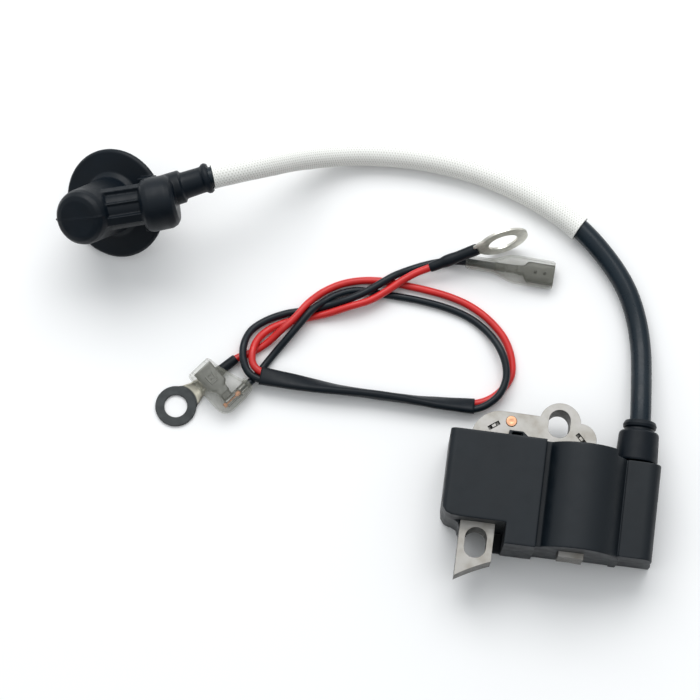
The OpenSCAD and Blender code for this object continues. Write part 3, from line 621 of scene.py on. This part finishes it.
# ---------------------------------------------------------------- high-tension lead
def braided_sleeve():
    """Braided sleeve: two sets of threads wound in opposite ways lift the surface where they cross; the
    thread heights are kept for the material, which paints shade in the gaps between threads.
    """
    path = smooth(HV_ROUTE[SLEEVE_FIRST:SLEEVE_LAST + 1], 0.24)
    frames = transported(path, (0, 0, 1))
    around, strands, pitch, lift = 112, 14, 11.0, 0.13
    outer, heights = [], []
    run, total = 0.0, length_of(path)
    for i, (p, (_, side, up)) in enumerate(zip(path, frames)):
        run += (path[i] - path[i - 1]).length if i else 0
        flare = 0.32 * math.exp(-run / 1.6) + 0.1 * math.exp(-(total - run) / 1.2)
        sag = 0.05 * math.sin(run * 0.33) + 0.03 * math.sin(run * 0.91 + 1)
        ring = []
        for k in range(around):
            a = 2 * math.pi * k / around
            turns = 2 * math.pi * run / pitch
            one = math.sin(strands * (a + turns))
            two = math.sin(strands * (a - turns))
            crossing = math.cos(strands * a) * math.cos(strands * turns) > 0
            height = 0.5 + 0.5 * max(one, two) * (1 if crossing else 0.8)
            r = SLEEVE_D / 2 - lift + lift * height + flare + sag * 0.6
            point = p + r * (math.cos(a) * side + math.sin(a) * up)
            point.z = max(point.z, FLOOR_GAP)
            ring.append(point)
            heights.append(height)
        outer.append(ring)
    inner_r = LEAD_D / 2 + 0.06
    inner = []
    for p, (_, side, up) in list(zip(path, frames))[::-4]:
        inner.append(circle(p, inner_r, side, up, around))
        # The inside wall takes a low height, so the material paints it in shade.
        heights += [0.3] * around
    verts, faces = skinned(outer + inner, loop=True)
    data = bpy.data.meshes.new("heat_sleeve_braid")
    data.from_pydata(mm(verts), [], faces)
    shade = data.attributes.new("braid", "FLOAT", "POINT")
    shade.data.foreach_set("value", heights)
    data.shade_smooth()
    return finish_piece(linked("heat_sleeve_braid", data), "heat_sleeve")


def boot_frame():
    return turn(BOOT_POS, ("Z", BOOT_AZ), ("Y", BOOT_TILT))


def in_boot(p):
    """A point of the boot's own frame, in mm of the part's frame."""
    return placed(boot_frame(), [p])[0]


def bead(name, path, radius, node=None, n=8):
    """A thin round bead along points in mm."""
    first = (0, 0, 1) if abs((path[1] - path[0]).normalized().z) < 0.9 else (1, 0, 0)
    rings = [circle(p, radius, side, up, n) for p, (_, side, up) in zip(path, transported(path, first))]
    return mesh_piece(name, *skinned(rings), node)


def plug_boot():
    """One rubber skin over the CAD boot, with a ridge round the cap and a mould line across it."""
    body = cad_copy("plug_boot_body", "plug_boot")
    at = boot_frame()
    ridge = lathe("ridge", [(6.95, 16.9), (7.5, 17.3), (7.35, 17.9), (6.8, 17.6)], at, loop=True, radius=0.1)
    axis = (in_boot((0, 0, 1)) - in_boot((0, 0, 0))).normalized()
    arm = SADDLE_POS - in_boot(CONTACT_ROOT)
    across = (arm - arm.dot(axis) * axis).normalized()
    dome = [(7.75, 16), (7.6, 17.5), (7.3, 18.7), (6.4, 19.7), (5.1, 20.08), (2.5, 20.15), (0, 20.2)]
    half = [(r, h) for r, h in dome[:-1]] + [(-r, h) for r, h in dome[::-1]]
    line = [BOOT_POS + axis * h + across * r for r, h in half]
    seam = bead("seam", smooth(line, 0.5), 0.16)
    nub = bead("nub", [BOOT_POS + axis * 17.6 - across * r for r in (7.2, 8.3)], 0.35)
    boot = joined("plug_boot_rubber", [body, ridge, seam, nub])
    softened(boot, 0.22, 3, 0.4)
    return finish_piece(boot, "plug_boot")


def contact_spring():
    """Helix that grips the plug's nut, with its tail up the arm to the lead."""
    c = CONTACT
    top = c["low"] + c["turns"] * c["pitch"]
    steps = 24
    path = [in_boot((c["r"] * math.cos(2 * math.pi * i / steps), c["r"] * math.sin(2 * math.pi * i / steps),
                     c["low"] + i * c["pitch"] / steps)) for i in range(steps * c["turns"] + 1)]
    root = in_boot(CONTACT_ROOT)
    path += smooth([path[-1], in_boot((1.8, 1.2, top + 0.7)), in_boot((0.2, 0.5, top + 1.5)),
                    root + 0.08 * (LEAD_END - root), LEAD_END - 0.02 * (LEAD_END - root)], 0.6)[1:]
    return bead("plug_contact_wire", path, c["wire"] / 2, "plug_contact_spring", 10)


def seal_boot():
    """Rubber boot on the tower, turned round the lead's axis."""
    at = turn((LEAD_EXIT[0], 0, LEAD_EXIT[2]), ("X", -90))
    bore = LEAD_D / 2 + 0.05
    profile = [(bore, 11), (0.8, 11), (0.8, 5.6), (4, 5.6), (4, 12.7), (5.75, 12.72), (5.85, 13.2),
               (5.5, 20.8), (5.15, 21.3), (4.1, 21.5), (4, 22.2), (4.5, 22.5), (4.65, 23.3), (4.2, 24.3),
               (bore, 24.4)]
    return lathe("lead_seal_rubber", profile, at, "lead_seal_boot", loop=True)


# ---------------------------------------------------------------- coil module
def housing():
    shell = softened(cad_copy("housing_shell", "housing"), 0.2, 8, 0.25)
    return finish_piece(shell, "housing")


def outline_loops(faces):
    """Closed loops of vertices round a set of faces, each with the region on its left."""
    inside = set(faces)
    follow = {}
    for f in faces:
        for loop in f.loops:
            others = [g for g in loop.edge.link_faces if g in inside]
            if len(others) == 1:
                follow[loop.vert] = loop.link_loop_next.vert
    loops = []
    while follow:
        start = next(iter(follow))
        ring = [start]
        step = follow.pop(start)
        while step is not start:
            ring.append(step)
            step = follow.pop(step)
        loops.append(ring)
    return loops


def laminated_core():
    """Sheets of the core stacked up: each edge is set back where two sheets meet."""
    source = bmesh.new()
    source.from_mesh(frame["nodes"]["core_stack"].data)
    bmesh.ops.remove_doubles(source, verts=source.verts, dist=2e-6)
    source.normal_update()
    top = [f for f in source.faces if f.normal.z > 0.99 and f.calc_center_median().z > (CORE_TOP - 0.1) * MM]
    groove = GROOVE_DEPTH * MM
    made = bmesh.new()
    cap = {}

    def shifted(v, offset, z):
        return made.verts.new((v.co.x + offset.x, v.co.y + offset.y, z * MM))

    inward = {}
    for ring in outline_loops(top):
        for i, v in enumerate(ring):
            a = (v.co - ring[i - 1].co).xy
            b = (ring[(i + 1) % len(ring)].co - v.co).xy
            d = a.normalized() + b.normalized()
            d = d.normalized() if d.length > 1e-6 else Vector((1, 0))
            inward[v] = Vector((-d.y, d.x)) * groove
        middle = sum((v.co for v in ring), Vector()) / len(ring) / MM
        pocket = any((middle.xy - Vector(d[:2])).length < 2.2 for d in KEY_SLOTS) and len(ring) < 12
        sheets = round((CORE_TOP - CORE_Z) / LAMINATION)
        if pocket:
            levels = [(CORE_TOP, 1), (CORE_TOP - 0.1, 0), (CORE_TOP - KEY_SLOT_DEPTH, 0)]
        else:
            levels = []
            for s in range(sheets):
                z = CORE_TOP - s * LAMINATION
                levels += [(z, 1), (z - GROOVE_SLOPE, 0), (z - LAMINATION + GROOVE_SLOPE, 0)]
            levels.append((CORE_Z, 1))
        rows = [[shifted(v, inward[v] * share, z) for v in ring] for z, share in levels]
        for row, below in zip(rows, rows[1:]):
            for i in range(len(ring)):
                j = (i + 1) % len(ring)
                made.faces.new((row[i], row[j], below[j], below[i]))
        for v, w in zip(ring, rows[0]):
            cap[v] = w
        if pocket:
            made.faces.new(rows[-1])
    for f in top:
        for v in f.verts:
            if v not in cap:
                cap[v] = shifted(v, Vector((0, 0)), CORE_TOP)
        made.faces.new([cap[v] for v in f.verts])
    bottom = {}
    for f in source.faces:
        if f.normal.z < -0.99 and f.calc_center_median().z < (CORE_Z + 0.1) * MM:
            for v in f.verts:
                if v not in bottom:
                    bottom[v] = made.verts.new(v.co)
            made.faces.new([bottom[v] for v in f.verts])
    bmesh.ops.remove_doubles(made, verts=made.verts, dist=groove * 1.2)
    bmesh.ops.recalc_face_normals(made, faces=made.faces)
    data = bpy.data.meshes.new("stack")
    made.to_mesh(data)
    made.free()
    source.free()
    stack = linked("stack", data)
    tongues = [tongue(turn((x, y, CORE_TOP - 0.1), ("Z", azimuth))) for x, y, azimuth in KEY_SLOTS]
    core = joined("core_sheets", [stack, *tongues], "core_stack")
    core.data.shade_flat()
    return core


def tongue(at):
    """Sheared tongue that bows up in the middle of a keying slot."""
    high, low = [[(0.35 * k / 3, z) for k in range(4)] for z in (0, 0.2 - KEY_SLOT_DEPTH)]
    return sheet_piece("tongue", [(-0.95, low), (-0.5, high), (0.5, high), (0.95, low)], at, 0.2)


def rivet():
    """Copper rivet: rounded head flush on the top sheet, flange below."""
    low = CORE_Z - 0.4
    profile = [(0, low), (2.1, low), (2.1, CORE_Z), (1.5, CORE_Z), (1.5, CORE_TOP + 0.05),
               (1.35, CORE_TOP + 0.2), (0.7, CORE_TOP + 0.22), (0, CORE_TOP + 0.14)]
    return lathe("ground_rivet_copper", profile, turn((*RIVET, 0)), "ground_rivet", n=40, radius=0.12)


# ---------------------------------------------------------------- lead set
def flat_sleeve():
    """Flat sleeve that turns as it goes, wrapped close round its two wires."""
    reds = smooth([in_flat(i, -1) for i in range(len(FLAT_ROUTE))], 0.7)
    blacks = smooth([in_flat(i, 1) for i in range(len(FLAT_ROUTE))], 0.7)
    count = min(len(reds), len(blacks))
    reds = [reds[round(i * (len(reds) - 1) / (count - 1))] for i in range(count)]
    blacks = [blacks[round(i * (len(blacks) - 1) / (count - 1))] for i in range(count)]
    path = [(r + b) / 2 for r, b in zip(reds, blacks)]
    n = 40

    def ring(i, r):
        t = (path[min(i + 1, count - 1)] - path[max(i - 1, 0)]).normalized()
        a = blacks[i] - reds[i]
        u = (a - a.dot(t) * t).normalized()
        v = t.cross(u)
        points = []
        for k in range(n):
            angle = 2 * math.pi * (k + 0.5) / n
            end = 1 if math.cos(angle) >= 0 else -1
            waist = 1 - 0.1 * abs(math.sin(angle))**6
            across = end * WIRE_GAP * (1 - abs(math.sin(angle))**5) + r * math.cos(angle)
            points.append(path[i] + across * u + r * waist * math.sin(angle) * v)
        return points

    wave = [0.04 * math.sin(i * 0.55) + 0.03 * math.sin(i * 0.21 + 2) for i in range(count)]
    outer = [ring(i, FLAT_R + wave[i] * 0.5) for i in range(count)]
    inner = [ring(i, FLAT_R - FLAT_WALL) for i in range(count - 1, -1, -4)]
    verts, faces = skinned(outer + inner, loop=True)
    return mesh_piece("harness_sleeve_flat", verts, faces, "harness_sleeve")


def strip(stations):
    """A strip of sheet along X. Each station is (x, half of its section from the middle out, as (y, z))."""
    step = 0.35
    rows = []
    for (xa, a), (xb, b) in zip(stations, stations[1:]):
        count = max(2, round((xb - xa) / step))
        for k in range(count):
            t = k / count
            s = t * t * (3 - 2 * t)
            section = [(p[0] + (q[0] - p[0]) * s, p[1] + (q[1] - p[1]) * s) for p, q in zip(a, b)]
            rows.append((xa + (xb - xa) * t, section))
    rows.append(stations[-1])
    verts, faces = [], []
    for x, half in rows:
        verts += [(x, -y, z) for y, z in half[:0:-1]] + [(x, y, z) for y, z in half]
    n = 2 * len(rows[0][1]) - 1
    for i in range(len(rows) - 1):
        for k in range(n - 1):
            faces.append((i * n + k, i * n + k + 1, (i + 1) * n + k + 1, (i + 1) * n + k))
    return verts, faces


def sheet_piece(name, stations, at, thick):
    """A strip of sheet thick mm thick, in a frame."""
    verts, faces = strip(stations)
    obj = mesh_piece(name, verts, faces, None, at)
    solid = obj.modifiers.new("thick", "SOLIDIFY")
    solid.thickness, solid.offset = thick * MM, 0
    return applied(obj)


def arc_half(width, degrees, low):
    """Half a section: a strip of half-width width, curled up by degrees in all from its lowest line low."""
    n = 12
    if degrees < 1:
        return [(width * k / (n - 1), low) for k in range(n)]
    r = width / math.radians(degrees / 2)
    angles = [math.radians(degrees / 2 * k / (n - 1)) for k in range(n)]
    return [(r * math.sin(a), low + r - r * math.cos(a)) for a in angles]


def rolled_half():
    """Half of a blade box: flat floor, round side, and a wing rolled in over the blade."""
    w, h = BLADE_BOX_W / 2, BLADE_BOX_H / 2
    return [(0, -h), (w * 0.45, -h), (w - 0.55, -h), (w - 0.16, -h + 0.22), (w, -0.25), (w, 0.25),
            (w - 0.16, h - 0.22), (w - 0.55, h), (w - 1.15, h), (w * 0.42, h - 0.04), (0.42, h - 0.12),
            (0.16, h - 0.42)]


def ring_terminal(name, node, ring_at, hole, outer, neck, barrel_at, barrel):
    """Ring of sheet metal with rounded edges, its neck, and the barrel crimped on the wires."""
    half = RING_T / 2
    plate = lathe("ring", [(hole, -half), (outer, -half), (outer, half), (hole, half)], ring_at, n=96,
                  loop=True)
    neck_part = sheet_piece("neck", neck, ring_at, RING_T * 0.9)
    length, r = barrel
    tube = lathe("barrel", [(BARREL_BORE_R, 0), (r, 0), (r, length), (BARREL_BORE_R, length)],
                 barrel_at @ turn((0, 0, 0), ("Y", 90)), n=40, loop=True, radius=0.12)
    return joined(name, [plate, neck_part, tube], node)


def small_ring_frame():
    return turn(SMALL_RING, ("Z", SMALL_RING_AZ))


def small_ring():
    at = small_ring_frame()
    neck = [(3.7, arc_half(4.0, 0, 0)), (5.6, arc_half(3.2, 0, 0)), (7.4, arc_half(2.55, 60, 0)),
            (9.0, arc_half(2.9, 200, -0.02)), (10.2, arc_half(3.6, 290, -0.05))]
    return ring_terminal("small_ring_sheet", "ring_terminal_small", at @ turn((0, 0, RING_T / 2)), 3.2, 5.7,
                         neck, at @ turn((9.0, 0, CRIMP_Z)), (6.5, 1.42))


def large_ring():
    at = turn(LARGE_RING, ("Z", LARGE_RING_AZ), ("X", LARGE_RING_TILT))
    neck = [(4.6, arc_half(5.3, 0, 0)), (6.6, arc_half(3.6, 0, 0)), (8.6, arc_half(1.8, 20, 0))]
    return ring_terminal("large_ring_sheet", "ring_terminal_large", at, 4.2, 7.3, neck,
                         shrink_frame() @ turn((4.2, 0, 0)), (9.6, 1.4))


def shrink_frame():
    return turn(SHRINK_START, ("Z", SHRINK_AZ), ("Y", -SHRINK_EL))


def shrink_tube(name, node, at, profile, wall):
    """Shrunk tube with its wall following what is under it; profile is (distance, radius)."""
    line = [(r, x) for x, r in profile] + [(r - wall, x) for x, r in reversed(profile)]
    return lathe(name, line, at @ turn((0, 0, 0), ("Y", 90)), node, n=48, loop=True, radius=0.8)


def crimp(name, start, length, width, at):
    """A barrel of sheet metal folded round the wire and pinched in the middle."""
    folded = 330
    section = arc_half(width, folded, -width / math.radians(folded / 2))
    pinch = [(y * 0.9, z * 0.9) for y, z in section]
    stations = [(start, section), (start + length * 0.5, pinch), (start + length, section)]
    return sheet_piece(name, stations, at, CRIMP_T)


def tray(width, low, wall):
    """Half a section of the open channel between a crimp and the box."""
    channel = [(width * k / 6, low) for k in range(7)]
    return channel + [(width + 0.05 * k, low + wall * (k + 1) / 5) for k in range(5)]


def straight_frame():
    return turn(STRAIGHT_POS, ("Z", STRAIGHT_AZ))


def straight_receptacle():
    """Blade box with its floor up, and the two crimps behind it."""
    at = straight_frame() @ turn((0, 0, 0), ("X", 180))
    rolled = rolled_half()
    body = sheet_piece("box", [(14.6, tray(0.9, BOX_FLOOR, 0.9)), (16.2, tray(1.1, BOX_FLOOR, 0.9)),
                               (17.9, rolled), (21.5, rolled), (25.2, rolled)], at, BOX_T)
    grip = crimp("grip", 8.4, 3.0, 3.2, at)
    wire_grip = crimp("wire_grip", 11.8, 3.1, 2.9, at)
    link = sheet_piece("link", [(11.2, tray(0.7, BOX_FLOOR, 0.35)), (15, tray(0.9, BOX_FLOOR, 0.6))], at,
                       LINK_T)
    stops = [bead("stop", placed(at, [(x, y, -1.15) for y in (-0.2, 0.5)]), 0.42) for x in (19.9, 22.6)]
    return joined("straight_receptacle_sheet", [body, grip, wire_grip, link, *stops],
                  "blade_receptacle_straight")


def flag_frame():
    return turn(FLAG_POS, ("Z", FLAG_AZ), ("X", FLAG_TILT))


def flag_receptacle():
    """Blade box across the wire with its floor up, a plain raised tab on it, and the two crimps."""
    at = flag_frame()
    box_at = at @ turn((-1.6, 4.6, 0), ("Z", 90), ("X", 180))
    rolled = rolled_half()
    body = sheet_piece("box", [(-1.9, tray(1.3, BOX_FLOOR, 0.3)), (-0.5, tray(1.4, BOX_FLOOR, 0.8)),
                               (0.9, rolled), (4, rolled), (7.4, rolled)], box_at, BOX_T)
    grip = crimp("grip", 1.6, 2.6, 3.5, at)
    wire_grip = crimp("wire_grip", -3.4, 3.6, 3.0, at)
    link = sheet_piece("link", [(-3.3, tray(0.9, -1.2, 0.3)), (3.6, tray(0.9, -1.2, 0.3))], at, LINK_T)
    plate = sheet_piece("plate", [(-4.0, tray(1.3, 1.1, -0.1)), (-1.6, tray(1.3, -BOX_FLOOR, -0.2))], box_at,
                        LINK_T)
    tab = [(4.9, -1.1), (2.4, -1.1), (2.2, -0.9), (2.2, 0.9), (2.4, 1.1), (4.9, 1.1)]
    raised = [bead("raised", placed(box_at, [(x, y, -1.2) for x, y in line]), 0.22)
              for line in (tab, [(3.4, -0.4), (3.4, 0.4)], [(4.6, -0.4), (4.6, 0.4)])]
    return joined("flag_receptacle_sheet", [body, grip, wire_grip, link, plate, *raised],
                  "blade_receptacle_flag")


def strands(name, node, at, start, length):
    """A twisted bundle of bare strands along X."""
    parts = []
    outer_strands, lay, steps = 8, 9, 24
    for i in range(outer_strands + 1):
        r = 0.5 if i else 0
        path = []
        for k in range(steps + 1):
            x = start + length * k / steps
            a = 2 * math.pi * (i / outer_strands + x / lay)
            path.append((x, r * math.cos(a), r * math.sin(a)))
        parts.append(bead("strand", placed(at, path), 0.2))
    return joined(name, parts, node)


def pouch(name, node, outline, height, at, is_open):
    """A soft clear sleeve: the outline with round edges all round, open where is_open(x, y) says."""
    edge, wall, spacing = 1.15, 0.4, 0.45
    line = rounded([Vector(p) for p in outline], 1.6, steps=6)
    dense = []
    for a, b in zip(line, line[1:] + line[:1]):
        count = max(1, round((b - a).length / spacing))
        dense += [a + (b - a) * k / count for k in range(count)]
    n = len(dense)
    normals = []
    for i in range(n):
        d = dense[(i + 2) % n] - dense[i - 2]
        normals.append(Vector((d.y, -d.x)).normalized())
    area = sum(a.x * b.y - b.x * a.y for a, b in zip(dense, dense[1:] + dense[:1]))
    sign = 1 if area > 0 else -1
    levels = []
    for k in range(9):
        a = math.radians(-90 + 180 * k / 8)
        z = (height / 2 - edge * 0.8) * max(-1, min(1, 3 * math.sin(a))) + edge * 0.8 * math.sin(a)
        levels.append((edge * (1 - math.cos(a)), z))
    rings = [[(*(p - q * sign * inset), z) for p, q in zip(dense, normals)] for inset, z in levels]
    verts, faces = skinned(rings)
    bottom, lid = faces[-2:]
    faces = [f for f in faces[:-2] if not is_open(*[sum(verts[i][j] for i in f) / len(f) for j in (0, 1)])]
    obj = mesh_piece(name, verts, [*faces, bottom, lid], None, at)
    bm = bmesh.new()
    bm.from_mesh(obj.data)
    bmesh.ops.triangulate(bm, faces=[f for f in bm.faces if len(f.verts) > 4])
    bm.to_mesh(obj.data)
    bm.free()
    solid = obj.modifiers.new("wall", "SOLIDIFY")
    solid.thickness, solid.offset = wall * MM, -1
    return finish_piece(applied(obj), node)


def clear_sleeves():
    """Both receptacles' sleeves, open at the blade's end and at the wire's end."""
    straight = pouch("straight_sleeve_vinyl", "clear_sleeve_straight",
                     [(0, -1.8), (8.4, -1.8), (13.4, -3.9), (25.6, -3.9), (25.6, 3.9), (12.6, 4), (7.8, 1.85),
                      (0, 1.8)], 3.6, straight_frame(), lambda x, y: x > 25.2 or x < 0.3)
    flag = pouch("flag_sleeve_vinyl", "clear_sleeve_flag",
                 [(-6.0, 13.3), (1.8, 13.4), (2.1, 9.8), (3.7, 4.4), (4.4, 2.2), (5.4, 1.95), (5.4, -1.9),
                  (2, -2.5), (-3.6, -2.8), (-5.9, -1.5), (-6.4, 0.4), (-6.3, 6.8)], 3.8, flag_frame(),
                 lambda x, y: y > 13 or x > 5.2)
    return straight, flag


# ---------------------------------------------------------------- the object
camera()
studio()

lead, lead_length = cord_curve("hv_lead_jacket", HV_ROUTE, LEAD_D, "hv_lead")
red, red_length = cord_curve("red_wire_insulation", RED_ROUTE, WIRE_D, "red_wire", 0.8)
black, black_length = cord_curve("black_wire_insulation", BLACK_ROUTE, WIRE_D, "black_wire", 0.8)
braid = braided_sleeve()
boot = plug_boot()
spring = contact_spring()
flat = flat_sleeve()
ring_small, ring_large = small_ring(), large_ring()
shrink_small = shrink_tube("small_shrink", "shrink_tube_small",
                           small_ring_frame() @ turn((10, 0, CRIMP_Z)),
                           [(0, 1.5), (0.6, 1.58), (5, 1.58), (6.4, 1.42), (10.6, 1.36), (11.3, 1.28)], 0.14)
shrink_large = shrink_tube("large_shrink", "shrink_tube_large", shrink_frame(),
                           [(0, 1.3), (0.8, 1.42), (3.6, 1.46), (4.8, 1.7), (6.6, 1.72), (8.2, 1.56),
                            (13.6, 1.66), (14.4, 1.58)], 0.16)
receptacle_straight, receptacle_flag = straight_receptacle(), flag_receptacle()
strands_a = strands("straight_strands", "strands_straight", straight_frame(), 8.6, 6.8)
strands_b = strands("flag_strands", "strands_flag", flag_frame(), -4.2, 6.1)
vinyl_straight, vinyl_flag = clear_sleeves()
seal_boot()
housing()
laminated_core()
rivet()

replaced = {"housing", "core_stack", "ground_rivet", "lead_seal_boot", "hv_lead", "heat_sleeve", "plug_boot",
            "plug_contact_spring", *frame["record"]["behaviour"]["bodies"]["harness"]}
for node, part in frame["nodes"].items():
    if node in replaced:
        continue
    for slot in part.material_slots:
        slot.material = material(SLOT_OF[node])
